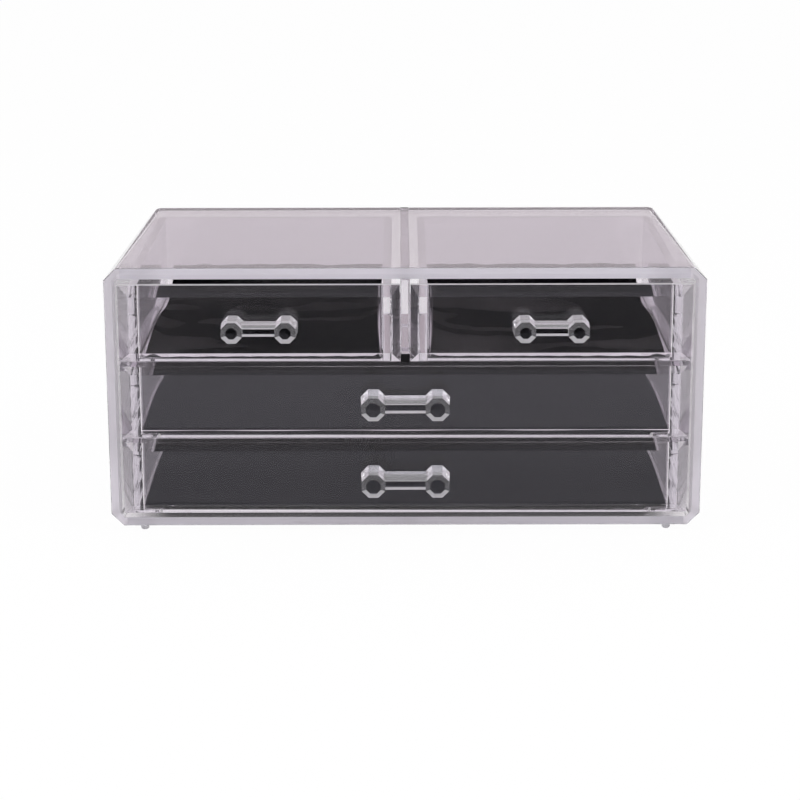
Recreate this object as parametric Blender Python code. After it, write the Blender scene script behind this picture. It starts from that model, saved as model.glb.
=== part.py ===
"""Makeup organizer: a clear moulded casing that holds two wide drawers under a pair of small ones.

Metres, +Z up. The drawers open towards -Y, X runs along the width, and Z starts at the underside
of the feet. Depths inside the functions are counted from the front rim of the casing, backwards.
"""

import math

import bmesh
import bpy
from mathutils import Vector

MM = 0.001

# Casing, a cup on its side: open at the front, closed at the back, drafted to come off its core
CASING_WIDTH = 240.0 * MM
CASING_DEPTH = 135.0 * MM
CASING_HEIGHT = 107.2 * MM
SIDE_DRAFT = 6.4 * MM  # how far each side comes in on the outside from the front to the back
INNER_DRAFT = 4.9 * MM  # the same on the inside
SIDE_WALL = 4.3 * MM  # at the front
TOP_WALL = 4.9 * MM
FLOOR_WALL = 3.5 * MM
BACK_WALL = 3.0 * MM
FRONT_CORNER_CUT = 5.0 * MM
BACK_CORNER_CUT = 1.8 * MM
INNER_FRONT_CUT = 0.9 * MM
INNER_BACK_CUT = 0.7 * MM
RIM_SIDE = 3.3 * MM  # flat of the rim at the sides of the mouth, before it slopes inwards
RIM_TOP = 2.6 * MM
RIM_SLOPE_DEPTH = 1.6 * MM
MOUTH_CUT = 2.2 * MM  # across the corners of the mouth
RIM_EDGE = 0.25 * MM
BACK_CORNER = 5.5 * MM  # radius of the upright rear corners
BACK_EDGE = 1.6 * MM  # radius of the other rear edges
INNER_CORNER = 3.5 * MM
INNER_EDGE = 1.7 * MM
REAR_STEPS = 6

# Feet
FOOT_HEIGHT = 2.4 * MM
FOOT_RADIUS = 1.7 * MM
FOOT_DOME = 0.6 * MM
FOOT_SIDE_INSET = 13.2 * MM
FOOT_FRONT_INSET = 3.6 * MM
FOOT_BACK_INSET = 9.0 * MM
ROUND_STEPS = 16

# Rows of drawers
ROWS = 3
PLAY = 0.3 * MM  # running gap, and the gap between pieces that touch
BOTTOM_GAP = 1.1 * MM  # from the floor of the casing to the lowest drawer
TOP_GAP = 2.3 * MM  # from the highest drawer to the ceiling of the casing
SHELF_THICKNESS = 2.0 * MM
SHELF_SETBACK = 6.0 * MM  # from the back of the drawer fronts
SHELF_EDGE = 0.3 * MM
RAIL_HEIGHT = 3.0 * MM
RUNNER_INSET = 20.0 * MM
RUNNER_THICKNESS = 1.6 * MM

# Centre divider of the top row, and the two pads that hold its ends
DIVIDER_THICKNESS = 3.7 * MM
DIVIDER_EDGE = 0.3 * MM
NOTCH_HEIGHT = 3.5 * MM
NOTCH_DEPTH = 7.0 * MM
TAB_LENGTH = 10.0 * MM
BACK_TAB_HEIGHT = 9.0 * MM
BACK_TAB_DROP = 6.0 * MM  # from the top edge of the divider to its back tab
TAB_PLACE_SHARES = (0.22, 0.7)  # front ends of the foot tabs along the divider
BACK_PAD_INSET = 0.6 * MM  # from the rear of the casing
BACK_PAD_DROP = 0.1 * MM  # from the top of the casing

# Drawers
FRONT_SETBACK = 0.5 * MM
FRONT_SIDE_GAP = 0.8 * MM
FRONT_THICKNESS = 3.2 * MM
FRONT_BEVEL_DEPTH = 2.2 * MM
TOP_BEVEL = 4.85 * MM
BOTTOM_BEVEL = 3.8 * MM
INNER_END_BEVEL = 3.4 * MM  # on the ends of the small fronts next to the divider
TRAY_SIDE = 3.3 * MM
TRAY_FLOOR = 1.4 * MM
TRAY_BACK = 2.6 * MM
TRAY_REAR_GAP = 1.0 * MM  # between the tray and the back wall of the casing
SMALL_TRAY_DROP = 0.6 * MM  # from the top edge of a small front to the walls of its tray
TRAY_CORNER = 1.2 * MM  # radius of the upright corners of the hollow
TRAY_FILLET = 0.8 * MM  # round the floor of the hollow
TRAY_REAR_CORNER = 3.0 * MM
TRAY_OUTER_EDGE = 0.6 * MM
TRAY_STEP = 0.2 * MM  # between the faces of the tray and those of the front that it grows from
GATE_INSET = 15.2 * MM  # from the end of a wide front
GATE_WIDTH = 0.7 * MM
GATE_HEIGHT = 2.1 * MM
GATE_LENGTH = 0.8 * MM

# Liners, black sheets that have curled: one set of sizes for each drawer width
LINER_THICKNESS = 0.6 * MM
LINER_GAP = 0.5 * MM  # before and behind the sheet
LINER_CURL_START_SHARE = 0.68  # of the depth, where the rear starts to curl up
LINER_ARCH_SHARE = 0.74  # of the depth, under which the side edges arch
LINER_FRONT_SHARE = 0.2  # of the depth, over which the front edge comes down
SMALL_LINER = {
    "outer_gap": 2.8 * MM,
    "inner_gap": 1.2 * MM,
    "bow": 1.4 * MM,
    "rear_curl": 7.4 * MM,
    "arch": 3.6 * MM,
    "front_lift": 0.0 * MM,
    "ripple": 0.15 * MM,
    "ripple_length": 12.0 * MM,
    "steps": 54,
}
LARGE_LINER = {
    "outer_gap": 0.7 * MM,
    "inner_gap": 0.7 * MM,
    "bow": 0.0 * MM,
    "rear_curl": 3.0 * MM,
    "arch": 2.4 * MM,
    "front_lift": 1.1 * MM,
    "ripple": 0.15 * MM,
    "ripple_length": 55.0 * MM,
    "steps": 40,
}
LINER_STEPS_DEEP = 13

# Handles, one set of sizes for each drawer width
SMALL_HANDLE = {
    "spacing": 21.2 * MM,
    "foot": 9.2 * MM,
    "girdle": 8.3 * MM,
    "table": 4.5 * MM,
    "length": 11.6 * MM,
    "crown": 0.8 * MM,
    "web": 4.6 * MM,
    "web_bevel": 1.3 * MM,
    "web_setback": 2.9 * MM,
    "drop": 0.95 * MM,  # axis of the knobs below the middle of the drawer front
}
LARGE_HANDLE = {
    "spacing": 25.7 * MM,
    "foot": 10.4 * MM,
    "girdle": 9.4 * MM,
    "table": 5.8 * MM,
    "length": 12.4 * MM,
    "crown": 0.7 * MM,
    "web": 5.4 * MM,
    "web_bevel": 1.5 * MM,
    "web_setback": 2.9 * MM,
    "drop": 0.2 * MM,
}
HANDLE_STEP = 0.2 * MM  # between the foot of the knobs and the web that joins them

OVERRUN = 1.0 * MM  # of a cutter past the faces that it opens
SMOOTH_ANGLE = math.radians(50)

# Everything below follows from the sizes above
REACH = PLAY + LARGE_HANDLE["length"] + LARGE_HANDLE["crown"] - FRONT_SETBACK
FRONT_Y = (REACH - CASING_DEPTH) / 2
BASE_Z = FOOT_HEIGHT
TOP_ROW = ROWS - 1
FIRST_ROW = FLOOR_WALL + BOTTOM_GAP
ROW_PITCH = (CASING_HEIGHT - TOP_WALL - TOP_GAP - FIRST_ROW + PLAY) / ROWS
CUT_GROWTH = 2 - math.sqrt(2)  # how much wider a corner cut gets as its outline grows by one
INNER_END = CASING_DEPTH - BACK_WALL
SHELF_FRONT = FRONT_SETBACK + FRONT_THICKNESS + SHELF_SETBACK
TRAY_END = INNER_END - TRAY_REAR_GAP
FRONT_HEIGHT = ROW_PITCH - PLAY
DIVIDER_HALF = DIVIDER_THICKNESS / 2


def place(x, depth, height):
    """World point from the distance off the middle, the depth and the height over the underside."""
    return Vector((x, FRONT_Y + depth, BASE_Z + height))


def row_height(row):
    return FIRST_ROW + row * ROW_PITCH


def blend(front, back, depth):
    return front + (back - front) * depth / CASING_DEPTH


def outer_half(depth):
    return CASING_WIDTH / 2 - blend(0, SIDE_DRAFT, depth)


def inner_half(depth):
    return CASING_WIDTH / 2 - SIDE_WALL - blend(0, INNER_DRAFT, depth)


TRAY_HALF = inner_half(TRAY_END) - PLAY
FRONT_HALF = inner_half(0) - FRONT_SIDE_GAP
RAIL_FACE = TRAY_HALF + PLAY


# Meshes

def clear_scene():
    for old in list(bpy.data.objects):
        bpy.data.objects.remove(old, do_unlink=True)


def make_material(name, colour, roughness, transmission=0.0, ior=1.49):
    material = bpy.data.materials.new(name)
    material.use_nodes = True
    shader = material.node_tree.nodes["Principled BSDF"]
    shader.inputs["Base Color"].default_value = (*colour, 1)
    shader.inputs["Metallic"].default_value = 0
    shader.inputs["Roughness"].default_value = roughness
    shader.inputs["Transmission Weight"].default_value = transmission
    shader.inputs["IOR"].default_value = ior
    return material


def add_object(name, mesh_data, material=None, parent=None):
    """Object from a bmesh in world places, kept at its parent's origin."""
    mesh = bpy.data.meshes.new(name)
    bmesh.ops.recalc_face_normals(mesh_data, faces=mesh_data.faces)
    if parent:
        bmesh.ops.translate(mesh_data, verts=mesh_data.verts, vec=-parent.location)
    mesh_data.to_mesh(mesh)
    mesh_data.free()
    made = bpy.data.objects.new(name, mesh)
    bpy.context.scene.collection.objects.link(made)
    if material:
        mesh.materials.append(material)
    if parent:
        made.parent = parent
    return made


def add_empty(name, location):
    empty = bpy.data.objects.new(name, None)
    empty.location = location
    empty.empty_display_size = ROW_PITCH
    bpy.context.scene.collection.objects.link(empty)
    return empty


def combine(target, operation, tool):
    """Leaves the Boolean on the target, and keeps the tool as a hidden guide."""
    modifier = target.modifiers.new(tool.name, "BOOLEAN")
    modifier.operation = operation
    modifier.object = tool
    modifier.solver = "EXACT"
    tool.hide_render = True
    tool.display_type = "WIRE"


def loft(rings, into=None):
    """Closed solid through rings of equal counts, capped at both ends."""
    made = into or bmesh.new()
    loops = [[made.verts.new(point) for point in ring] for ring in rings]
    for first, second in zip(loops, loops[1:]):
        for i in range(len(first)):
            following = (i + 1) % len(first)
            made.faces.new((first[i], first[following], second[following], second[i]))
    made.faces.new(loops[0])
    made.faces.new(loops[-1])
    return made


def prism(outline, low, high, to_point, into=None):
    """Closed solid of one outline between two places along its third direction."""
    return loft([[to_point(a, b, at) for a, b in outline] for at in (low, high)], into)


def block(x_low, x_high, depth_low, depth_high, low, high, into=None):
    outline = [(x_low, low), (x_high, low), (x_high, high), (x_low, high)]
    return prism(outline, depth_low, depth_high, lambda x, z, depth: place(x, depth, z), into)


def round_edges(mesh_data, radius, segments, chosen):
    edges = [edge for edge in mesh_data.edges if chosen(edge)]
    bmesh.ops.bevel(
        mesh_data, geom=edges, offset=radius, segments=segments, profile=0.5, affect="EDGES"
    )


def length_along(edge, axis):
    return abs(edge.verts[0].co[axis] - edge.verts[1].co[axis])


def section(half, low, high, cut, depth):
    """Ring of a rectangle with cut corners, anticlockwise seen from the front."""
    points = [
        (-half + cut, low), (half - cut, low), (half, low + cut), (half, high - cut),
        (half - cut, high), (-half + cut, high), (-half, high - cut), (-half, low + cut),
    ]
    return [place(x, depth, z) for x, z in points]


def rear_inset(depth, end, radius):
    """How far an edge of that radius has come in at a depth near the rear end."""
    past = depth - (end - radius)
    return radius - math.sqrt(max(0, radius ** 2 - past ** 2)) if past > 0 else 0


def rear_depths(end, radius):
    """Depths of the rings that round a rear corner, from its start to the rear end."""
    turns = [math.pi / 2 * i / REAR_STEPS for i in range(REAR_STEPS + 1)]
    return [end - radius + radius * math.sin(a) for a in turns]


def outer_section(depth, inset=0.0):
    """Outside of the casing at a depth, moved in by the inset."""
    half = outer_half(depth) - rear_inset(depth, CASING_DEPTH, BACK_CORNER) - inset
    edge = rear_inset(depth, CASING_DEPTH, BACK_EDGE) + inset
    cut = blend(FRONT_CORNER_CUT, BACK_CORNER_CUT, depth) - inset * CUT_GROWTH
    return section(half, edge, CASING_HEIGHT - edge, cut, depth)


def mouth_section():
    """Inner edge of the rim's flat, which slopes in to the walls from there, but not to the floor."""
    return section(outer_half(0) - RIM_SIDE, FLOOR_WALL, CASING_HEIGHT - RIM_TOP, MOUTH_CUT, 0)


def inner_section(depth):
    """Inside of the casing at a depth."""
    half = inner_half(depth) - rear_inset(depth, INNER_END, INNER_CORNER)
    edge = rear_inset(depth, INNER_END, INNER_EDGE)
    cut = blend(INNER_FRONT_CUT, INNER_BACK_CUT, depth)
    return section(half, FLOOR_WALL + edge, CASING_HEIGHT - TOP_WALL - edge, cut, depth)


# Casing

def make_casing(material):
    rings = [inner_section(depth) for depth in reversed(rear_depths(INNER_END, INNER_CORNER))]
    rings += [
        inner_section(RIM_SLOPE_DEPTH),
        mouth_section(),
        outer_section(0, inset=RIM_EDGE),
        outer_section(RIM_EDGE),
    ]
    rings += [outer_section(depth) for depth in rear_depths(CASING_DEPTH, BACK_CORNER)]
    casing = add_object("casing_shell", loft(rings), material)
    for side, word in ((-1, "left"), (1, "right")):
        for row in range(1, ROWS):
            rail = make_rail(side, row)
            combine(casing, "UNION", add_object(f"guide_rail_{word}_{row}", rail))
        runner = make_runner(side)
        combine(casing, "UNION", add_object(f"guide_runner_{word}", runner))
    combine(casing, "DIFFERENCE", add_object("cut_back_slot", make_back_slot()))
    return casing


def make_rail(side, row):
    """Wedge on the drafted side wall: it carries a shelf, and its straight face guides a tray."""
    high = row_height(row) - SHELF_THICKNESS - 2 * PLAY
    low = high - RAIL_HEIGHT
    rings = []
    for depth in (SHELF_FRONT, INNER_END - INNER_CORNER):
        wall = inner_half(depth) + BACK_WALL / 2
        corners = [(RAIL_FACE, low), (wall, low), (wall, high), (RAIL_FACE, high)]
        rings.append([place(side * x, depth, z) for x, z in corners])
    return loft(rings)


def make_runner(side):
    """Low rib on the floor of the casing, under the lowest tray."""
    middle = side * (CASING_WIDTH / 2 - RUNNER_INSET)
    half = RUNNER_THICKNESS / 2
    ends = (SHELF_FRONT, CASING_DEPTH - BACK_WALL / 2)
    return block(middle - half, middle + half, *ends, FLOOR_WALL / 2, FIRST_ROW - PLAY)


def divider_span():
    """Lowest and highest height of the divider's plate."""
    return row_height(TOP_ROW), CASING_HEIGHT - TOP_WALL - PLAY


def back_tab_span():
    high = divider_span()[1] - BACK_TAB_DROP
    return high - BACK_TAB_HEIGHT, high


def make_back_slot():
    """Notch in the back wall, open at the top, for the divider's back tab and the pad over it."""
    half = DIVIDER_HALF + PLAY
    ends = (INNER_END - PLAY, CASING_DEPTH + OVERRUN)
    return block(-half, half, *ends, back_tab_span()[0] - PLAY, CASING_HEIGHT + OVERRUN)


def make_foot(name, x, depth, material):
    """Stick-on bumper with a domed tread."""
    profile = [
        (FOOT_RADIUS - FOOT_DOME, -FOOT_HEIGHT),
        (FOOT_RADIUS - FOOT_DOME / 4, -FOOT_HEIGHT + FOOT_DOME / 2),
        (FOOT_RADIUS, -FOOT_HEIGHT + FOOT_DOME + FOOT_DOME / 4),
        (FOOT_RADIUS, -PLAY),
    ]
    rings = []
    for radius, height in profile:
        turns = [2 * math.pi * i / ROUND_STEPS for i in range(ROUND_STEPS)]
        spots = [(x + radius * math.cos(a), depth + radius * math.sin(a)) for a in turns]
        rings.append([place(*spot, height) for spot in spots])
    foot = add_object(name, loft(rings), material)
    foot.data.shade_smooth()
    foot.data.set_sharp_from_angle(angle=SMOOTH_ANGLE)
    return foot


# Shelves and divider

def make_shelf(name, row, material):
    """Plate that fills the drafted casing behind the drawer fronts, just under the trays of its row."""
    high = row_height(row) - PLAY
    rear = INNER_END - PLAY
    turn = rear - INNER_CORNER
    front_half = inner_half(SHELF_FRONT) - PLAY
    side_half = inner_half(turn) - PLAY
    rear_half = inner_half(rear) - PLAY - INNER_CORNER
    outline = [
        (-front_half, SHELF_FRONT), (front_half, SHELF_FRONT), (side_half, turn), (rear_half, rear),
        (-rear_half, rear), (-side_half, turn),
    ]
    plate = prism(outline, high - SHELF_THICKNESS, high, place)
    round_edges(plate, SHELF_EDGE, 1, lambda edge: length_along(edge, 2) < PLAY)
    return add_object(name, plate, material)


def foot_tabs():
    """Front and rear depth of each tab that stands in the upper shelf."""
    return [(INNER_END * share, INNER_END * share + TAB_LENGTH) for share in TAB_PLACE_SHARES]


def make_divider(material):
    low, high = divider_span()
    front = FRONT_SETBACK
    rear = INNER_END - PLAY
    tab_low = row_height(TOP_ROW) - PLAY - SHELF_THICKNESS
    notch = low + NOTCH_HEIGHT
    outline = [(front, high), (front, notch), (NOTCH_DEPTH, notch), (NOTCH_DEPTH, low)]
    for start, end in foot_tabs():
        outline += [(start, low), (start, tab_low), (end, tab_low), (end, low)]
    back_low, back_high = back_tab_span()
    tab_end = CASING_DEPTH - BACK_PAD_INSET
    outline += [(rear, low), (rear, back_low), (tab_end, back_low), (tab_end, back_high)]
    outline += [(rear, back_high), (rear, high - INNER_EDGE), (rear - INNER_EDGE, high)]
    plate = prism(outline, -DIVIDER_HALF, DIVIDER_HALF, lambda depth, z, x: place(x, depth, z))
    round_edges(plate, DIVIDER_EDGE, 1, lambda edge: length_along(edge, 0) < PLAY)
    return add_object("centre_divider", plate, material)


def make_divider_pads(material):
    """Pads in the notch at the divider's front foot, and in the back wall over its tab."""
    low = row_height(TOP_ROW)
    notch = low + NOTCH_HEIGHT - PLAY
    front = block(-DIVIDER_HALF, DIVIDER_HALF, FRONT_SETBACK, NOTCH_DEPTH - PLAY, low, notch)
    add_object("divider_front_pad", front, material)
    foot = back_tab_span()[1] + PLAY
    ends = (INNER_END, CASING_DEPTH - BACK_PAD_INSET)
    back = block(-DIVIDER_HALF, DIVIDER_HALF, *ends, foot, CASING_HEIGHT - BACK_PAD_DROP)
    add_object("divider_back_pad", back, material)


def cut_divider_slots(shelf):
    high = row_height(TOP_ROW)
    half = DIVIDER_HALF + PLAY
    for number, (start, end) in enumerate(foot_tabs()):
        ends = (start - PLAY, end + PLAY)
        slot = block(-half, half, *ends, high - SHELF_THICKNESS - OVERRUN, high + OVERRUN)
        combine(shelf, "DIFFERENCE", add_object(f"cut_shelf_slot_{number}", slot))


# Drawers

def drawer_plans():
    """One plan for each drawer: its row, the ends of its front and the ends of its tray."""
    front_end = DIVIDER_HALF + PLAY
    tray_end = front_end + INNER_END_BEVEL
    wide = {"front": (-FRONT_HALF, FRONT_HALF), "tray": (-TRAY_HALF, TRAY_HALF)}
    left = {"front": (-FRONT_HALF, -front_end), "tray": (-TRAY_HALF, -tray_end)}
    right = {"front": (front_end, FRONT_HALF), "tray": (tray_end, TRAY_HALF)}
    return [
        {"name": "bottom", "row": 0, **wide},
        {"name": "middle", "row": 1, **wide},
        {"name": "top_left", "row": TOP_ROW, **left},
        {"name": "top_right", "row": TOP_ROW, **right},
    ]


def is_wide(plan):
    return plan["row"] != TOP_ROW


def make_front(plan):
    """Bevelled plate: its flat middle ends in line with the outsides of the tray behind it."""
    low = row_height(plan["row"])
    high = low + FRONT_HEIGHT
    left, right = plan["front"]
    flat_left, flat_right = plan["tray"]
    back = FRONT_SETBACK + FRONT_THICKNESS
    full = [(left, low), (right, low), (right, high), (left, high)]
    flat = [
        (flat_left, low + BOTTOM_BEVEL), (flat_right, low + BOTTOM_BEVEL),
        (flat_right, high - TOP_BEVEL), (flat_left, high - TOP_BEVEL),
    ]
    rings = [(flat, FRONT_SETBACK), (full, FRONT_SETBACK + FRONT_BEVEL_DEPTH), (full, back)]
    return loft([[place(x, depth, z) for x, z in ring] for ring, depth in rings])


def tray_height(plan):
    """Over the foot of the front: under the next shelf, or near the top edge of a small front."""
    if is_wide(plan):
        return ROW_PITCH - SHELF_THICKNESS - 2 * PLAY
    return FRONT_HEIGHT - SMALL_TRAY_DROP


def is_upright(edge):
    return length_along(edge, 2) > PLAY


def is_at_depth(edge, depth):
    return all(abs(vertex.co.y - FRONT_Y - depth) < TRAY_STEP / 2 for vertex in edge.verts)


def is_at_height(edge, height):
    return all(abs(vertex.co.z - BASE_Z - height) < TRAY_STEP / 2 for vertex in edge.verts)


def make_body(plan):
    """Box of the tray before it is hollowed, rounded at its rear corners and under its outside."""
    left, right = plan["tray"]
    front = FRONT_SETBACK + (FRONT_BEVEL_DEPTH + FRONT_THICKNESS) / 2
    foot = row_height(plan["row"]) + TRAY_STEP
    body = block(left, right, front, TRAY_END, foot, row_height(plan["row"]) + tray_height(plan))
    round_edges(body, TRAY_REAR_CORNER, 4, lambda edge: is_upright(edge) and is_at_depth(edge, TRAY_END))
    outer = [edge for edge in body.edges if is_at_height(edge, foot) and not is_at_depth(edge, front)]
    round_edges(body, TRAY_OUTER_EDGE, 2, lambda edge: edge in outer)
    return body


def make_hollow(plan):
    left, right = plan["tray"]
    floor = row_height(plan["row"]) + TRAY_FLOOR
    ends = (FRONT_SETBACK + FRONT_THICKNESS + TRAY_STEP, TRAY_END - TRAY_BACK)
    hollow = block(left + TRAY_SIDE, right - TRAY_SIDE, *ends, floor, floor + ROW_PITCH)
    round_edges(hollow, TRAY_CORNER, 3, is_upright)
    round_edges(hollow, TRAY_FILLET, 3, lambda edge: is_at_height(edge, floor))
    return hollow


def make_tray(plan, material, parent):
    name = plan["name"]
    tray = add_object(f"drawer_tray_{name}", make_front(plan), material, parent)
    combine(tray, "UNION", add_object(f"guide_body_{name}", make_body(plan), parent=parent))
    combine(tray, "DIFFERENCE", add_object(f"cut_hollow_{name}", make_hollow(plan), parent=parent))
    if is_wide(plan):
        marks = make_gate_marks(plan)
        combine(tray, "DIFFERENCE", add_object(f"cut_gates_{name}", marks, parent=parent))
    return tray


def make_gate_marks(plan):
    """Slots that the mould's gates leave in the foot of a wide front, near both ends."""
    low = row_height(plan["row"])
    middle = FRONT_SETBACK + FRONT_THICKNESS / 2
    half = GATE_WIDTH / 2
    ends = (middle - GATE_LENGTH / 2, middle + GATE_LENGTH / 2)
    marks = bmesh.new()
    for x in (plan["front"][0] + GATE_INSET, plan["front"][1] - GATE_INSET):
        block(x - half, x + half, *ends, low - OVERRUN, low + GATE_HEIGHT, marks)
    return marks


# Handles

def handle_sizes(plan):
    return LARGE_HANDLE if is_wide(plan) else SMALL_HANDLE


def handle_axis(plan):
    """Middle of the handle across the width, and the height of its knobs."""
    across = sum(plan["tray"]) / 2
    return across, row_height(plan["row"]) + FRONT_HEIGHT / 2 - handle_sizes(plan)["drop"]


def octagon(x, z, across, depth):
    """Octagon with a flat top, given by its width across flats."""
    reach = across / 2 / math.cos(math.pi / 8)
    turns = [math.pi / 8 + math.pi / 4 * i for i in range(8)]
    return [place(x + reach * math.cos(a), depth, z + reach * math.sin(a)) for a in turns]


def make_knob(x, height, sizes):
    """Faceted knob, bonded to the drawer front with its foot."""
    foot = FRONT_SETBACK - PLAY
    girdle = foot - sizes["length"]
    return loft([
        octagon(x, height, sizes["foot"], foot),
        octagon(x, height, sizes["girdle"], girdle),
        octagon(x, height, sizes["table"], girdle - sizes["crown"]),
    ])


def make_web(middle, height, sizes):
    """Bar from the middle of one knob to the middle of the other, with bevelled front edges."""
    foot = FRONT_SETBACK - PLAY - HANDLE_STEP
    front = FRONT_SETBACK - PLAY - sizes["length"] + sizes["web_setback"]
    half = sizes["web"] / 2
    bevel = sizes["web_bevel"]
    outline = [
        (foot, height - half), (front + bevel, height - half), (front, height - half + bevel),
        (front, height + half - bevel), (front + bevel, height + half), (foot, height + half),
    ]
    ends = (middle - sizes["spacing"] / 2, middle + sizes["spacing"] / 2)
    return prism(outline, *ends, lambda depth, z, x: place(x, depth, z))


def make_handle(plan, material, parent):
    sizes = handle_sizes(plan)
    middle, height = handle_axis(plan)
    half = sizes["spacing"] / 2
    name = plan["name"]
    handle = add_object(f"handle_{name}", make_knob(middle - half, height, sizes), material, parent)
    other = add_object(f"guide_knob_{name}", make_knob(middle + half, height, sizes), parent=parent)
    web = add_object(f"guide_web_{name}", make_web(middle, height, sizes), parent=parent)
    combine(handle, "UNION", other)
    combine(handle, "UNION", web)
    return handle


# Liners

def liner_sizes(plan):
    return LARGE_LINER if is_wide(plan) else SMALL_LINER


def liner_ends(plan, sizes):
    """Left and right end of the sheet, the inner one being next to the divider."""
    left, right = plan["tray"]
    gaps = [sizes["inner_gap"], sizes["outer_gap"]]
    if left + right < 0:
        gaps.reverse()
    return left + TRAY_SIDE + gaps[0], right - TRAY_SIDE - gaps[1]


def liner_lift(x, across, deep, sizes):
    """How far the sheet stands off the floor, from the shares of its width and depth."""
    curl = max(0, deep - LINER_CURL_START_SHARE) / (1 - LINER_CURL_START_SHARE)
    arch = math.sin(math.pi * min(1, deep / LINER_ARCH_SHARE))
    front = max(0, 1 - deep / LINER_FRONT_SHARE)
    edge = abs(2 * across - 1)
    ripple = 1 - math.cos(2 * math.pi * (x / sizes["ripple_length"] + deep))
    lift = sizes["rear_curl"] * curl ** 2 + sizes["arch"] * arch * edge ** 8
    return lift + sizes["front_lift"] * front ** 2 + sizes["ripple"] * ripple


def liner_point(plan, across, deep):
    """Point of the sheet's underside, from the shares of its width and depth."""
    sizes = liner_sizes(plan)
    left, right = liner_ends(plan, sizes)
    front = FRONT_SETBACK + FRONT_THICKNESS + TRAY_STEP + LINER_GAP
    length = TRAY_END - TRAY_BACK - LINER_GAP - front
    bow = sizes["bow"] * math.sin(math.pi * deep)
    if left + right < 0:
        bow, from_inner = -bow, across
    else:
        from_inner = 1 - across
    x = left + (right - left) * across + bow * from_inner
    height = row_height(plan["row"]) + TRAY_FLOOR + PLAY + liner_lift(x, across, deep, sizes)
    return place(x, front + length * deep, height)


def make_liner(plan, material, parent):
    steps = liner_sizes(plan)["steps"]
    up = Vector((0, 0, LINER_THICKNESS))
    rings = []
    for j in range(LINER_STEPS_DEEP + 1):
        under = [liner_point(plan, i / steps, j / LINER_STEPS_DEEP) for i in range(steps + 1)]
        rings.append(under + [point + up for point in reversed(under)])
    liner = add_object(f"liner_{plan['name']}", loft(rings), material, parent)
    liner.data.shade_smooth()
    liner.data.set_sharp_from_angle(angle=SMOOTH_ANGLE)
    return liner


def make_organizer():
    clear_scene()
    clear = make_material("clear_plastic", (0.93, 0.91, 0.95), 0.03, transmission=1.0)
    crystal = make_material("crystal_plastic", (0.97, 0.97, 0.98), 0.02, transmission=1.0)
    bumper = make_material("foot_rubber", (0.85, 0.84, 0.86), 0.25, transmission=0.8)
    pad = make_material("pad_black", (0.01, 0.01, 0.012), 0.6)
    gloss = make_material("liner_gloss_black", (0.012, 0.011, 0.013), 0.12)
    satin = make_material("liner_satin_black", (0.045, 0.043, 0.05), 0.35)

    make_casing(clear)
    for side, word in ((-1, "left"), (1, "right")):
        x = side * (CASING_WIDTH / 2 - FOOT_SIDE_INSET)
        make_foot(f"foot_front_{word}", x, FOOT_FRONT_INSET, bumper)
        make_foot(f"foot_back_{word}", x, CASING_DEPTH - FOOT_BACK_INSET, bumper)
    make_shelf("lower_shelf", 1, clear)
    cut_divider_slots(make_shelf("upper_shelf", TOP_ROW, clear))
    make_divider(clear)
    make_divider_pads(pad)

    for plan in drawer_plans():
        across, height = handle_axis(plan)
        slide = add_empty(f"slide_{plan['name']}", place(across, 0, height))
        make_tray(plan, clear, slide)
        make_handle(plan, crystal, slide)
        make_liner(plan, satin if is_wide(plan) else gloss, slide)


make_organizer()
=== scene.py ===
"""Looks of the makeup organizer: clear plastics, black liners, floor, light and camera."""

import math

import bpy
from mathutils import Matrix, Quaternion, Vector


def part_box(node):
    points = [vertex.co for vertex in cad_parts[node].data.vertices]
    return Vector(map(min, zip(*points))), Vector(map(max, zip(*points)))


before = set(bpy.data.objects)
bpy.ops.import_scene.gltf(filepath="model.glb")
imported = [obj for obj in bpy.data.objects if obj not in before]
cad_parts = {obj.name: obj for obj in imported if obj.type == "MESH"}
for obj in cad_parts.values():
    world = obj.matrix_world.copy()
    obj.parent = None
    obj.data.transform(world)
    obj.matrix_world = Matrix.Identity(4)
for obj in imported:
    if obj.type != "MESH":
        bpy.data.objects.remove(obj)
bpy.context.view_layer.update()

MM = 0.001

# Bounces, many because the light passes wall after wall of clear plastic

CLEAR_BOUNCES = 40
MIRROR_BOUNCES = 16

scene = bpy.context.scene
scene.view_settings.view_transform = "Standard"
scene.cycles.max_bounces = CLEAR_BOUNCES
scene.cycles.transmission_bounces = CLEAR_BOUNCES
scene.cycles.glossy_bounces = MIRROR_BOUNCES
scene.cycles.transparent_max_bounces = MIRROR_BOUNCES


# Places on the casing, from the frame

CASING_LOW, CASING_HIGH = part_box("casing_shell")
FRONT_Y = CASING_LOW.y
FLOOR_Z = CASING_LOW.z
HALF_WIDTH = CASING_HIGH.x
CASING_DEPTH = CASING_HIGH.y - FRONT_Y


# Camera, fitted to the perspective of the photograph

FOCAL_PIXELS = 2292.8
PICTURE_SIDE = 800
SENSOR = 36
PITCH = 0.26301
ROLL = -0.00216
CAMERA_X = -2.15 * MM
CAMERA_DISTANCE = 891.58 * MM  # ahead of the mouth of the casing
CAMERA_HEIGHT = 292.93 * MM  # over the underside of the casing
CLIP_START = 50 * MM


def add_camera():
    data = bpy.data.cameras.new("camera")
    data.sensor_width = SENSOR
    data.lens = SENSOR * FOCAL_PIXELS / PICTURE_SIDE
    data.clip_start = CLIP_START
    camera = bpy.data.objects.new("camera", data)
    camera.location = (CAMERA_X, FRONT_Y - CAMERA_DISTANCE, FLOOR_Z + CAMERA_HEIGHT)
    camera.rotation_mode = "QUATERNION"
    level = Quaternion((1, 0, 0), math.pi / 2 - PITCH)
    camera.rotation_quaternion = level @ Quaternion((0, 0, 1), ROLL)
    scene.collection.objects.link(camera)
    scene.camera = camera


# Nodes of the materials

SOFT = 1.0  # octaves of a noise
PLAIN = 2.0
RICH = 3.0
BUSY = 4.0


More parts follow.
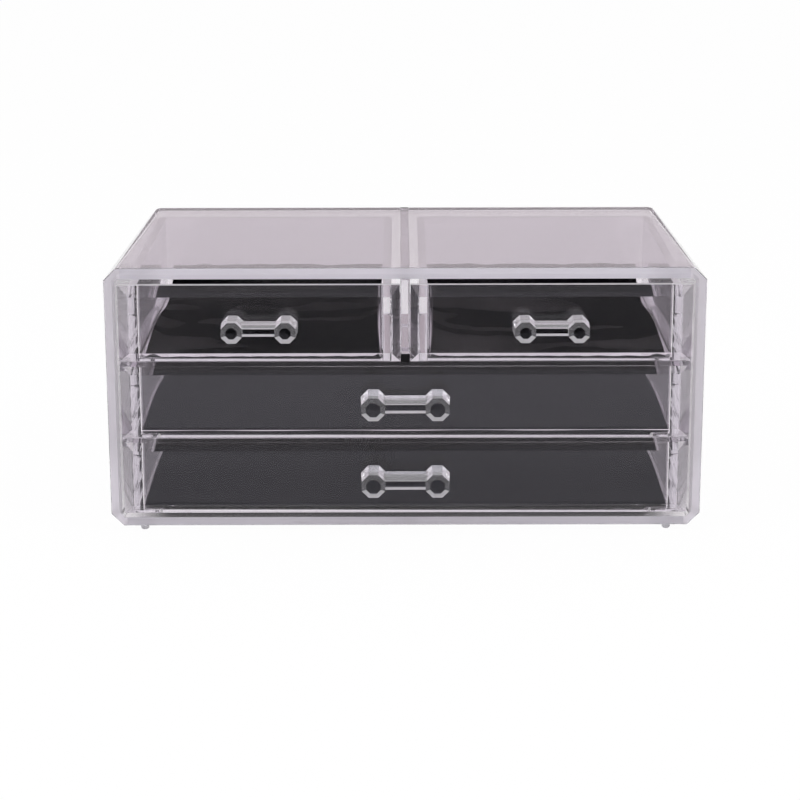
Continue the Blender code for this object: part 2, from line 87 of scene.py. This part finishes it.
class Finish:
    """A material on its way, with short calls for the nodes that its detail is made of."""

    def __init__(self, name):
        self.material = bpy.data.materials.new(name)
        self.material.use_nodes = True
        self.tree = self.material.node_tree
        self.shader = self.tree.nodes["Principled BSDF"]
        self.output = self.tree.nodes["Material Output"]
        self.place = self.add("ShaderNodeTexCoord").outputs["Object"]

    def add(self, kind, **settings):
        node = self.tree.nodes.new(kind)
        for name, value in settings.items():
            setattr(node, name, value)
        return node

    def link(self, value, socket):
        """Links an output, or sets a constant."""
        if isinstance(value, bpy.types.NodeSocket):
            self.tree.links.new(value, socket)
        else:
            socket.default_value = value

    def set(self, **values):
        for name, value in values.items():
            self.link(value, self.shader.inputs[name.replace("_", " ")])

    def math(self, operation, *values):
        node = self.add("ShaderNodeMath", operation=operation)
        for value, socket in zip(values, node.inputs):
            self.link(value, socket)
        return node.outputs[0]

    def less(self, first, second):
        return self.math("SUBTRACT", first, second)

    def times(self, first, *others):
        for other in others:
            first = self.math("MULTIPLY", first, other)
        return first

    def most(self, first, *others):
        for other in others:
            first = self.math("MAXIMUM", first, other)
        return first

    def above(self, value, limit):
        return self.math("GREATER_THAN", value, limit)

    def below(self, value, limit):
        return self.math("LESS_THAN", value, limit)

    def near(self, value, target, reach):
        return self.math("COMPARE", value, target, reach)

    def far_off(self, value):
        """Size of a value without its sign."""
        return self.math("ABSOLUTE", value)

    def axis(self, name):
        node = self.add("ShaderNodeSeparateXYZ")
        self.link(self.place, node.inputs[0])
        return node.outputs[name]

    def facing(self, name):
        """How far a flat face looks along an axis, from -1 to 1."""
        node = self.add("ShaderNodeSeparateXYZ")
        self.link(self.add("ShaderNodeNewGeometry").outputs["True Normal"], node.inputs[0])
        return node.outputs[name]

    def stretched(self, scales, turn):
        node = self.add("ShaderNodeMapping")
        self.link(self.place, node.inputs["Vector"])
        node.inputs["Scale"].default_value = scales
        node.inputs["Rotation"].default_value = (0, turn, 0)
        return node.outputs["Vector"]

    def noise(self, scale, detail=PLAIN, turn=0.0, distortion=0.0):
        """Noise from 0 to 1. The scale is in features per metre, in all or along each axis."""
        scales = scale if isinstance(scale, tuple) else (scale, scale, scale)
        node = self.add("ShaderNodeTexNoise")
        self.link(self.stretched(scales, turn), node.inputs["Vector"])
        node.inputs["Scale"].default_value = 1
        node.inputs["Detail"].default_value = detail
        node.inputs["Distortion"].default_value = distortion
        return node.outputs["Fac"]

    def span(self, value, limits, results=(0.0, 1.0)):
        """Takes a value from between two limits to between two results."""
        node = self.add("ShaderNodeMapRange")
        self.link(value, node.inputs["Value"])
        for name, limit in zip(("From Min", "From Max", "To Min", "To Max"), (*limits, *results)):
            self.link(limit, node.inputs[name])
        return node.outputs["Result"]

    def blend(self, share, first, second):
        """Mix of two numbers or outputs."""
        return self.span(share, (0.0, 1.0), (first, second))

    def tint(self, share, first, second):
        """Mix of two colours, each a triple or an output."""
        node = self.add("ShaderNodeMix", data_type="RGBA")
        self.link(share, node.inputs["Factor"])
        for name, colour in (("A", first), ("B", second)):
            self.link((*colour, 1) if isinstance(colour, tuple) else colour, node.inputs[name])
        return node.outputs["Result"]

    def bump(self, height, distance, under=None):
        node = self.add("ShaderNodeBump")
        node.inputs["Distance"].default_value = distance
        self.link(height, node.inputs["Height"])
        if under:
            self.link(under, node.inputs["Normal"])
        return node.outputs["Normal"]

    def absorb(self, colour, density):
        volume = self.add("ShaderNodeVolumeAbsorption")
        volume.inputs["Color"].default_value = (*colour, 1)
        volume.inputs["Density"].default_value = density
        self.link(volume.outputs["Volume"], self.output.inputs["Volume"])


class Sky(Finish):
    """The same short calls for the world, by direction."""

    def __init__(self, tree):
        self.tree = tree
        self.place = self.add("ShaderNodeTexCoord").outputs["Generated"]


# Skin of the mouldings

PLASTIC_IOR = 1.49
WAVE_SCALE = 70
WAVE_HEIGHT = 0.004 * MM
CASING_WAVE_HEIGHT = 0.009 * MM
SCRATCH_SCALES = (2500, 2500, 25)
SCRATCH_TURNS = (0.4, -0.9)
SCRATCH_LIMITS = (0.70, 0.74)
SCRATCH_DEPTH = 0.002 * MM
SCRATCH_ROUGHNESS = 0.12
WEAR_SCALE = 25
WEAR_LIMITS = (0.45, 0.75)
WEAR_ROUGHNESS = 0.02
CLOUD_SCALE = 30  # of the slight changes in tint
STRAIGHT = 0.9  # facing over this, a face looks straight along an axis
SIDEWAYS = 0.3  # facing over this, it looks to a side at least in part


def scratched(finish, turn):
    """Thin, sparse lines, 1 on a scratch."""
    return finish.span(finish.noise(SCRATCH_SCALES, SOFT, turn), SCRATCH_LIMITS)


def moulded(finish, wave_height=WAVE_HEIGHT):
    """Skin of a polished moulding: slow waves, and fine scratches from use."""
    waves = finish.noise(WAVE_SCALE, SOFT)
    scratches = finish.most(*(scratched(finish, turn) for turn in SCRATCH_TURNS))
    normal = finish.bump(scratches, -SCRATCH_DEPTH, finish.bump(waves, wave_height))
    worn = finish.span(finish.noise(WEAR_SCALE, RICH), WEAR_LIMITS, (0.0, WEAR_ROUGHNESS))
    return normal, finish.most(worn, finish.times(scratches, SCRATCH_ROUGHNESS))


# Casing

CASING_TINTS = ((0.93, 0.905, 0.93), (0.96, 0.935, 0.955))
STILE_PAINTED_LIGHT_TINTS = ((0.965, 0.93, 0.99), (0.99, 0.955, 1.0))  # on the sides of the rim: painted light, lighter than the rim below and above
RAIL_PAINTED_SHADE_TINTS = ((0.79, 0.765, 0.82), (0.84, 0.815, 0.88))  # on the rim below and above: painted shade, darker than the sides, and darker below than above
CASING_CLARITY = 0.94
CASING_SIDE_CLARITY = 0.96
CASING_DYE = (0.35, 0.3, 0.40)
CASING_DYE_DENSITY = 1.6
RIM_DEPTH = 1.62 * MM
RIM_SLOPE = 0.25  # facing of the slopes that the rim has inwards
RIM_ROUGHNESS = 0.3
RIM_CLARITY = 0.45
STILE_WIDTH = 6.5 * MM
MIDDLE_Z = 60 * MM


def casing_plastic():
    """Clear plastic with a cast like milk, most of all on the frosted rim of the mouth. The frost is the
    plastic's own; the rim's sides are painted lighter and its rail below darker, as painted light and shade.
    """
    finish = Finish("casing plastic")
    normal, roughness = moulded(finish, CASING_WAVE_HEIGHT)
    upper = finish.above(finish.axis("Z"), MIDDLE_Z)
    outwards = finish.times(finish.facing("X"), finish.math("SIGN", finish.axis("X")))
    ahead = finish.below(finish.facing("Y"), -STRAIGHT)
    inwards = finish.below(outwards, -RIM_SLOPE)
    downwards = finish.times(finish.below(finish.facing("Z"), -RIM_SLOPE), upper)
    first = finish.below(finish.less(finish.axis("Y"), FRONT_Y), RIM_DEPTH)
    rim = finish.times(first, finish.most(ahead, inwards, downwards))
    side = finish.above(finish.far_off(outwards), SIDEWAYS)
    cloud = finish.noise(CLOUD_SCALE)
    # painted light and shade: the rim's tint is lighter on the sides, darker on the rails, and darker below
    # than above
    stile = finish.above(finish.far_off(finish.axis("X")), HALF_WIDTH - STILE_WIDTH)
    rim_tint_with_painted_light = finish.tint(stile, finish.tint(upper, *RAIL_PAINTED_SHADE_TINTS), finish.tint(cloud, *STILE_PAINTED_LIGHT_TINTS))
    finish.set(
        Base_Color=finish.tint(rim, finish.tint(cloud, *CASING_TINTS), rim_tint_with_painted_light),
        Roughness=finish.most(roughness, finish.times(rim, RIM_ROUGHNESS)),
        Transmission_Weight=finish.blend(
            rim, finish.blend(side, CASING_CLARITY, CASING_SIDE_CLARITY), RIM_CLARITY
        ),
        IOR=PLASTIC_IOR,
        Normal=normal,
    )
    finish.absorb(CASING_DYE, CASING_DYE_DENSITY)
    return finish.material


# Drawers

DRAWER_TINTS = ((0.975, 0.955, 0.98), (0.99, 0.97, 0.99))
DRAWER_CLARITIES = (0.99, 0.3)  # where clear and where hazy
DRAWER_SIDE_HAZE = 0.01
DYE = (0.35, 0.3, 0.42)
DYE_DENSITY = 0.8
WIDE = 200 * MM  # drawers over this have marks of the mould's gates, the others a painted highlight of pale haze along their top edges
TOP_EDGE = 1.0 * MM
TOP_LIP = 0.35 * MM
GATE_INSET = 15.2 * MM  # from the end of the drawer
GATE_REACH = 0.5 * MM
GATE_DEPTH = 1.6 * MM
GATE_DEPTH_REACH = 0.45 * MM
GATE_TOP = 2.2 * MM


def painted_top_highlight(finish, high):
    """1 on the top edges of a drawer, where the painted highlight goes."""
    height = finish.axis("Z")
    flat = finish.above(finish.facing("Z"), STRAIGHT)
    edge = finish.times(flat, finish.above(height, high.z - TOP_EDGE))
    return finish.most(edge, finish.above(height, high.z - TOP_LIP))


def gate_marks(finish, off, behind, low, high):
    """1 in the slots that the mould's gates leave at the foot of a wide drawer's front."""
    gate = finish.near(off, (high.x - low.x) / 2 - GATE_INSET, GATE_REACH)
    depth = finish.near(behind, GATE_DEPTH, GATE_DEPTH_REACH)
    foot = finish.below(finish.axis("Z"), low.z + GATE_TOP)
    return finish.times(gate, depth, foot)


def drawer_plastic(node):
    """Clear plastic, pale and hazy on the top edges of a small drawer as a painted highlight, or in the gate
    slots of a wide one.
    """
    finish = Finish(f"{node.name} plastic")
    low, high = (Vector(corner) for corner in (node.bound_box[0], node.bound_box[6]))
    normal, roughness = moulded(finish)
    across = finish.less(finish.axis("X"), (low.x + high.x) / 2)
    side = finish.above(finish.far_off(finish.facing("X")), SIDEWAYS)
    # painted highlight: a small drawer's top edges are made pale and hazy; a wide drawer's gate slots are
    # marks of the mould
    if high.x - low.x < WIDE:
        gates_and_painted_highlight = painted_top_highlight(finish, high)
    else:
        behind = finish.less(finish.axis("Y"), low.y)
        gates_and_painted_highlight = gate_marks(finish, finish.far_off(across), behind, low, high)
    finish.set(
        Base_Color=finish.tint(finish.noise(CLOUD_SCALE), *DRAWER_TINTS),
        Roughness=roughness,
        Transmission_Weight=finish.blend(
            finish.most(finish.times(side, DRAWER_SIDE_HAZE), gates_and_painted_highlight), *DRAWER_CLARITIES
        ),
        IOR=PLASTIC_IOR,
        Normal=normal,
    )
    finish.absorb(DYE, DYE_DENSITY)
    return finish.material


# Shelves and divider

PLATE_TINTS = ((0.96, 0.94, 0.965), (0.98, 0.96, 0.98))
PLATE_CLARITY = 0.96


def plate_plastic():
    """Clear plastic of the shelves and the divider, with a slight haze."""
    finish = Finish("plate plastic")
    normal, roughness = moulded(finish)
    finish.set(
        Base_Color=finish.tint(finish.noise(CLOUD_SCALE), *PLATE_TINTS),
        Roughness=roughness,
        Transmission_Weight=PLATE_CLARITY,
        IOR=PLASTIC_IOR,
        Normal=normal,
    )
    finish.absorb(DYE, DYE_DENSITY)
    return finish.material


# Handles

CRYSTAL_TINTS = ((0.97, 0.96, 0.98), (0.99, 0.985, 1.0))
CRYSTAL_CLOUD_SCALE = 60
CRYSTAL_CLARITIES = (1.0, 0.5)  # of a clear and of a wholly hazy facet
TABLE_FACING = 0.98  # over this a facet is the flat table of a knob
# painted reflection: dark grey tint of a knob's flat table
TABLE_PAINTED_DARK = (0.30, 0.30, 0.32)
CROWN_HAZE = 0.15
FLANK_FACING = 0.8  # under this a facet is a flank, round the knob
FLANK_HAZE = 0.5
LOWER_FACING = 0.1  # downwards over this, a facet is wholly hazy


def crystal_plastic():
    """Plastic of the faceted handles, polished brighter than the rest, with a painted reflection: the flat
    table of each knob is tinted dark grey.
    """
    finish = Finish("crystal plastic")
    normal, roughness = moulded(finish)
    ahead = finish.times(finish.facing("Y"), -1.0)
    table = finish.above(ahead, TABLE_FACING)
    crown = finish.times(finish.below(ahead, TABLE_FACING), CROWN_HAZE)
    flank = finish.times(finish.below(ahead, FLANK_FACING), FLANK_HAZE)
    lower = finish.below(finish.facing("Z"), -LOWER_FACING)
    clear = finish.tint(finish.noise(CRYSTAL_CLOUD_SCALE), *CRYSTAL_TINTS)
    # painted reflection: the table facet is tinted dark grey
    finish.set(
        Base_Color=finish.tint(table, clear, TABLE_PAINTED_DARK),
        Roughness=roughness,
        Transmission_Weight=finish.blend(finish.most(crown, flank, lower), *CRYSTAL_CLARITIES),
        IOR=PLASTIC_IOR,
        Normal=normal,
    )
    return finish.material


# Bumpers

RUBBER_IOR = 1.41
RUBBER_TINTS = ((0.80, 0.79, 0.83), (0.86, 0.85, 0.88))
RUBBER_SCALE = 900
RUBBER_LIMITS = (0.3, 0.7)
RUBBER_ROUGHNESS = (0.25, 0.45)
RUBBER_CLARITY = 0.6
RUBBER_GRAIN = 0.02 * MM


def foot_rubber():
    """Soft translucent rubber with a fine grain."""
    finish = Finish("foot rubber")
    grain = finish.noise(RUBBER_SCALE)
    finish.set(
        Base_Color=finish.tint(grain, *RUBBER_TINTS),
        Roughness=finish.span(grain, RUBBER_LIMITS, RUBBER_ROUGHNESS),
        Transmission_Weight=RUBBER_CLARITY,
        IOR=RUBBER_IOR,
        Normal=finish.bump(grain, RUBBER_GRAIN),
    )
    return finish.material


# Black sheets and pads

SHEET_GRAIN = 0.01 * MM

GLOSS_TINTS = ((0.003, 0.003, 0.004), (0.007, 0.007, 0.008))
STREAK_SCALES = (9, 70, 9)
STREAK_BEND = 0.5
STREAK_LIMITS = (0.35, 0.65)
STREAK_ROUGHNESS = (0.3, 0.5)
STREAK_HEIGHT = 0.4 * MM
SHINE_SCALES = (14, 32, 14)
SHINE_BEND = 0.8
SHINE_LIMITS = (0.45, 0.65)
SHINE_COATS = (0.0, 0.22)
SHINE_ROUGHNESS = 0.25
CREASE_SCALES = (16, 60, 16)
CREASE_BEND = 1.5
CREASE_MIDDLE = 0.5
CREASE_WIDTH = 0.03  # off the middle of the noise
CREASE_HEIGHT = 0.01 * MM
GLOSS_GRAIN_SCALE = 1800

SATIN_TINTS = ((0.005, 0.005, 0.006), (0.012, 0.012, 0.014))
SCUFF_SCALES = (12, 40, 12)
SCUFF_BEND = 0.8
SCUFF_LIMITS = (0.35, 0.65)
SCUFF_ROUGHNESS = (0.45, 0.6)
SCUFF_HEIGHT = 0.2 * MM
SATIN_COAT = 0.06
SATIN_COAT_ROUGHNESS = 0.3
SATIN_GRAIN_SCALE = 1500

PAD_TINTS = ((0.003, 0.003, 0.003), (0.012, 0.011, 0.012))
PAD_SCALE = 3500
PAD_LIMITS = (0.3, 0.7)
PAD_ROUGHNESS = (0.6, 0.85)
PAD_SHINE = 0.2
PAD_GRAIN = 0.05 * MM


def gloss_sheet():
    """Black sheet with broad soft streaks across it and shallow creases."""
    finish = Finish("gloss sheet")
    streaks = finish.noise(STREAK_SCALES, distortion=STREAK_BEND)
    clouds = finish.noise(SHINE_SCALES, SOFT, distortion=SHINE_BEND)
    creases = finish.noise(CREASE_SCALES, distortion=CREASE_BEND)
    sharp = finish.span(finish.far_off(finish.less(creases, CREASE_MIDDLE)), (0.0, CREASE_WIDTH), (1.0, 0.0))
    grain = finish.bump(finish.noise(GLOSS_GRAIN_SCALE), SHEET_GRAIN)
    finish.set(
        Base_Color=finish.tint(streaks, *GLOSS_TINTS),
        Roughness=finish.span(streaks, STREAK_LIMITS, STREAK_ROUGHNESS),
        Specular_IOR_Level=0.0,
        Coat_Weight=finish.span(clouds, SHINE_LIMITS, SHINE_COATS),
        Coat_Roughness=SHINE_ROUGHNESS,
        Normal=finish.bump(streaks, STREAK_HEIGHT, finish.bump(sharp, CREASE_HEIGHT, grain)),
    )
    return finish.material


def satin_sheet():
    """Charcoal sheet with a fine even grain and slight scuffs."""
    finish = Finish("satin sheet")
    grain = finish.bump(finish.noise(SATIN_GRAIN_SCALE), SHEET_GRAIN)
    scuffs = finish.noise(SCUFF_SCALES, BUSY, distortion=SCUFF_BEND)
    finish.set(
        Base_Color=finish.tint(scuffs, *SATIN_TINTS),
        Roughness=finish.span(scuffs, SCUFF_LIMITS, SCUFF_ROUGHNESS),
        Specular_IOR_Level=0.0,
        Coat_Weight=SATIN_COAT,
        Coat_Roughness=SATIN_COAT_ROUGHNESS,
        Normal=finish.bump(scuffs, SCUFF_HEIGHT, grain),
    )
    return finish.material


def pad_foam():
    """Matte black foam with fine cells."""
    finish = Finish("pad foam")
    cells = finish.noise(PAD_SCALE, RICH)
    finish.set(
        Base_Color=finish.tint(cells, *PAD_TINTS),
        Roughness=finish.span(cells, PAD_LIMITS, PAD_ROUGHNESS),
        Specular_IOR_Level=PAD_SHINE,
        Normal=finish.bump(cells, PAD_GRAIN),
    )
    return finish.material


# Curved pieces

SMOOTH_ANGLE = math.radians(50)
WELD_DISTANCE = 0.01 * MM


def smooth(node):
    """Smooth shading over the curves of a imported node, whose triangles come apart and flat."""
    tree = bpy.data.node_groups.new(f"smooth {node.name}", "GeometryNodeTree")
    tree.interface.new_socket("Geometry", in_out="INPUT", socket_type="NodeSocketGeometry")
    tree.interface.new_socket("Geometry", in_out="OUTPUT", socket_type="NodeSocketGeometry")
    entry = tree.nodes.new("NodeGroupInput")
    weld = tree.nodes.new("GeometryNodeMergeByDistance")
    weld.inputs["Distance"].default_value = WELD_DISTANCE
    clean = tree.nodes.new("GeometryNodeRemoveAttribute")
    clean.inputs["Name"].default_value = "custom_normal"
    soft = tree.nodes.new("GeometryNodeSetShadeSmooth")
    sharp = tree.nodes.new("GeometryNodeSetShadeSmooth")
    sharp.domain = "EDGE"
    sharp.inputs["Shade Smooth"].default_value = False
    corner = tree.nodes.new("GeometryNodeInputMeshEdgeAngle")
    over = tree.nodes.new("FunctionNodeCompare")
    over.inputs["B"].default_value = SMOOTH_ANGLE
    end = tree.nodes.new("NodeGroupOutput")
    steps = (entry, weld, clean, soft, sharp, end)
    for first, second in zip(steps, steps[1:]):
        tree.links.new(first.outputs[0], second.inputs[0])
    tree.links.new(corner.outputs["Unsigned Angle"], over.inputs["A"])
    tree.links.new(over.outputs["Result"], sharp.inputs["Selection"])
    modifier = node.modifiers.new("smooth", "NODES")
    modifier.node_group = tree


def dress_nodes():
    """Gives each node its finish, by the start of its name. The drawers have one of their own each."""
    finishes = {
        "casing_shell": casing_plastic(),
        "handle": crystal_plastic(),
        "foot": foot_rubber(),
        "liner_top": gloss_sheet(),
        "liner": satin_sheet(),
        "divider": pad_foam(),
        "centre": plate_plastic(),
        "lower": plate_plastic(),
        "upper": plate_plastic(),
    }
    for name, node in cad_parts.items():
        fitting = [finishes[start] for start in finishes if name.startswith(start)]
        node.data.materials.clear()
        node.data.materials.append(fitting[0] if fitting else drawer_plastic(node))
        if name.startswith(("liner", "foot")):
            smooth(node)


# Rays: how often the plastic has turned them

ONCE = (0.5, 1.5)  # the depth of rays that were mirrored once lies between these
MANY_WALLS = 5.5  # passed by rays that are led on through the plastic


def mirrored_once(finish, path):
    """1 for rays that one surface has mirrored: rays led on inside the plastic have more."""
    least, most = ONCE
    return finish.times(finish.above(path["Glossy Depth"], least), finish.below(path["Glossy Depth"], most))


def led_on(finish, path):
    """1 for rays that go on from wall to wall inside the plastic."""
    mirrored = finish.above(path["Glossy Depth"], ONCE[1])
    return finish.most(mirrored, finish.above(path["Transmission Depth"], MANY_WALLS))


# Floor

FLOOR_SIDE = 8
FLOOR_PALE = (0.95, 0.95, 0.95, 1)
FLOOR_ROUGHNESS = 0.8
FLOOR_GLOW_SHARE = 0.97  # the rest is lit by the lamps and keeps the object's shadow
WHITE = (1.0, 1.0, 1.0)
LED_PALE = (0.82, 0.80, 0.84)
MIRROR_TINTS_WITH_PAINTED_SHADE = ((0.42, 0.41, 0.47), (0.58, 0.565, 0.65))  # of the floor that the plastic mirrors, darker near the mouth as a painted shade
COOL_LIMITS = (60 * MM, 200 * MM)  # ahead of the mouth
MIRROR_LIMITS = (0.0, 10 * MM)
DARK_LIMITS = (270 * MM, 290 * MM)  # where mirrored rays meet the dark of the room
DARK = (0.02, 0.02, 0.022)
SHADE_SIDES = (22 * MM, 4 * MM)  # inside the casing's sides, where the shade begins to fade and ends
SHADE_FRONTS = (3 * MM, 10 * MM)  # behind the mouth, where it begins and is full
SHADE_BACKS = (-10 * MM, 5 * MM)  # from the casing's rear, where it begins to fade and ends
SHADE_SHARE = 0.92


def shade_under(finish, path, behind):
    """Painted shade right under the casing, which shows only through its clear floor."""
    sides = [HALF_WIDTH - inset for inset in SHADE_SIDES]
    backs = [CASING_DEPTH + offset for offset in SHADE_BACKS]
    across = finish.span(finish.far_off(finish.axis("X")), sides, (1.0, 0.0))
    front = finish.span(behind, SHADE_FRONTS, (0.0, SHADE_SHARE))
    rear = finish.span(behind, backs, (1.0, 0.0))
    return finish.times(across, front, rear, path["Is Transmission Ray"])


def floor_material():
    """White to the camera, and through clear plastic; mirrored rays see a dim, cooler floor, darker near the
    mouth as a painted shade. A painted shade lies right under the casing.
    """
    finish = Finish("floor")
    path = finish.add("ShaderNodeLightPath").outputs
    ahead = finish.less(FRONT_Y, finish.axis("Y"))
    behind = finish.less(finish.axis("Y"), FRONT_Y)
    mirrored = finish.times(mirrored_once(finish, path), finish.span(ahead, MIRROR_LIMITS))
    dark = finish.times(mirrored, finish.span(ahead, DARK_LIMITS))
    # painted shade: the floor mirrored near the mouth is darker
    mirror_floor_with_painted_shade = finish.tint(finish.span(ahead, COOL_LIMITS), *MIRROR_TINTS_WITH_PAINTED_SHADE)
    pale = finish.tint(led_on(finish, path), WHITE, LED_PALE)
    # the dark of the room far ahead for mirrored rays, and the painted shade under the casing
    shaded = finish.most(dark, shade_under(finish, path, behind))
    seen = finish.most(path["Is Camera Ray"], path["Is Glossy Ray"], path["Is Transmission Ray"])
    finish.set(Base_Color=FLOOR_PALE, Roughness=FLOOR_ROUGHNESS)
    glow = finish.add("ShaderNodeEmission")
    finish.link(finish.tint(shaded, finish.tint(mirrored, pale, mirror_floor_with_painted_shade), DARK), glow.inputs["Color"])
    mix = finish.add("ShaderNodeMixShader")
    finish.link(finish.most(finish.times(seen, FLOOR_GLOW_SHARE), dark), mix.inputs["Fac"])
    finish.link(finish.shader.outputs["BSDF"], mix.inputs[1])
    finish.link(glow.outputs["Emission"], mix.inputs[2])
    finish.link(mix.outputs["Shader"], finish.output.inputs["Surface"])
    return finish.material


def add_floor():
    half = FLOOR_SIDE / 2
    corners = [(-half, -half, 0), (half, -half, 0), (half, half, 0), (-half, half, 0)]
    mesh = bpy.data.meshes.new("floor")
    mesh.from_pydata(corners, [], [range(len(corners))])
    mesh.materials.append(floor_material())
    floor = bpy.data.objects.new("floor", mesh)
    scene.collection.objects.link(floor)


# World and lamps

HORIZON_TINT = (0.95, 0.93, 0.97)
SWEEP_TINT = (0.54, 0.485, 0.515)
OVERHEAD_TINT = (0.95, 0.93, 0.96)
ROOM_TINT = (0.20, 0.185, 0.20)
SWEEP_RISE = (0.02, 0.17)
OVERHEAD_RISE = (0.25, 0.7)
ROOM_LIMITS = (-0.15, -0.45)  # towards the camera's side
LAMP_X = 0.8
LAMP_Y = -0.5
LAMP_HEIGHT = 0.9
LAMP_SIDE = 0.7
LAMP_POWER = 5
LAMP_TARGET = (0, 0, 50 * MM)


def add_world():
    """White sweep low behind, bright overhead; mirrored once, the room is dark on the camera's side."""
    world = bpy.data.worlds.new("studio")
    scene.world = world
    world.use_nodes = True
    sky = Sky(world.node_tree)
    path = sky.add("ShaderNodeLightPath").outputs
    rise = sky.axis("Z")
    sweep = sky.tint(sky.span(rise, SWEEP_RISE), HORIZON_TINT, SWEEP_TINT)
    above = sky.tint(sky.span(rise, OVERHEAD_RISE), sweep, OVERHEAD_TINT)
    room = sky.tint(sky.span(sky.axis("Y"), ROOM_LIMITS), above, ROOM_TINT)
    backdrop = sky.tint(path["Is Camera Ray"], LED_PALE, WHITE)
    lit = sky.most(mirrored_once(sky, path), path["Is Diffuse Ray"])
    sky.link(sky.tint(lit, backdrop, room), world.node_tree.nodes["Background"].inputs["Color"])


def add_lamp(name, place):
    data = bpy.data.lights.new(name, "AREA")
    data.shape = "RECTANGLE"
    data.size = LAMP_SIDE
    data.size_y = LAMP_SIDE
    data.energy = LAMP_POWER
    lamp = bpy.data.objects.new(name, data)
    lamp.location = place
    aim = Vector(LAMP_TARGET) - Vector(place)
    lamp.rotation_mode = "QUATERNION"
    lamp.rotation_quaternion = aim.to_track_quat("-Z", "Y")
    scene.collection.objects.link(lamp)


add_camera()
dress_nodes()
add_floor()
add_world()
add_lamp("left softbox", (-LAMP_X, LAMP_Y, LAMP_HEIGHT))
add_lamp("right softbox", (LAMP_X, LAMP_Y, LAMP_HEIGHT))
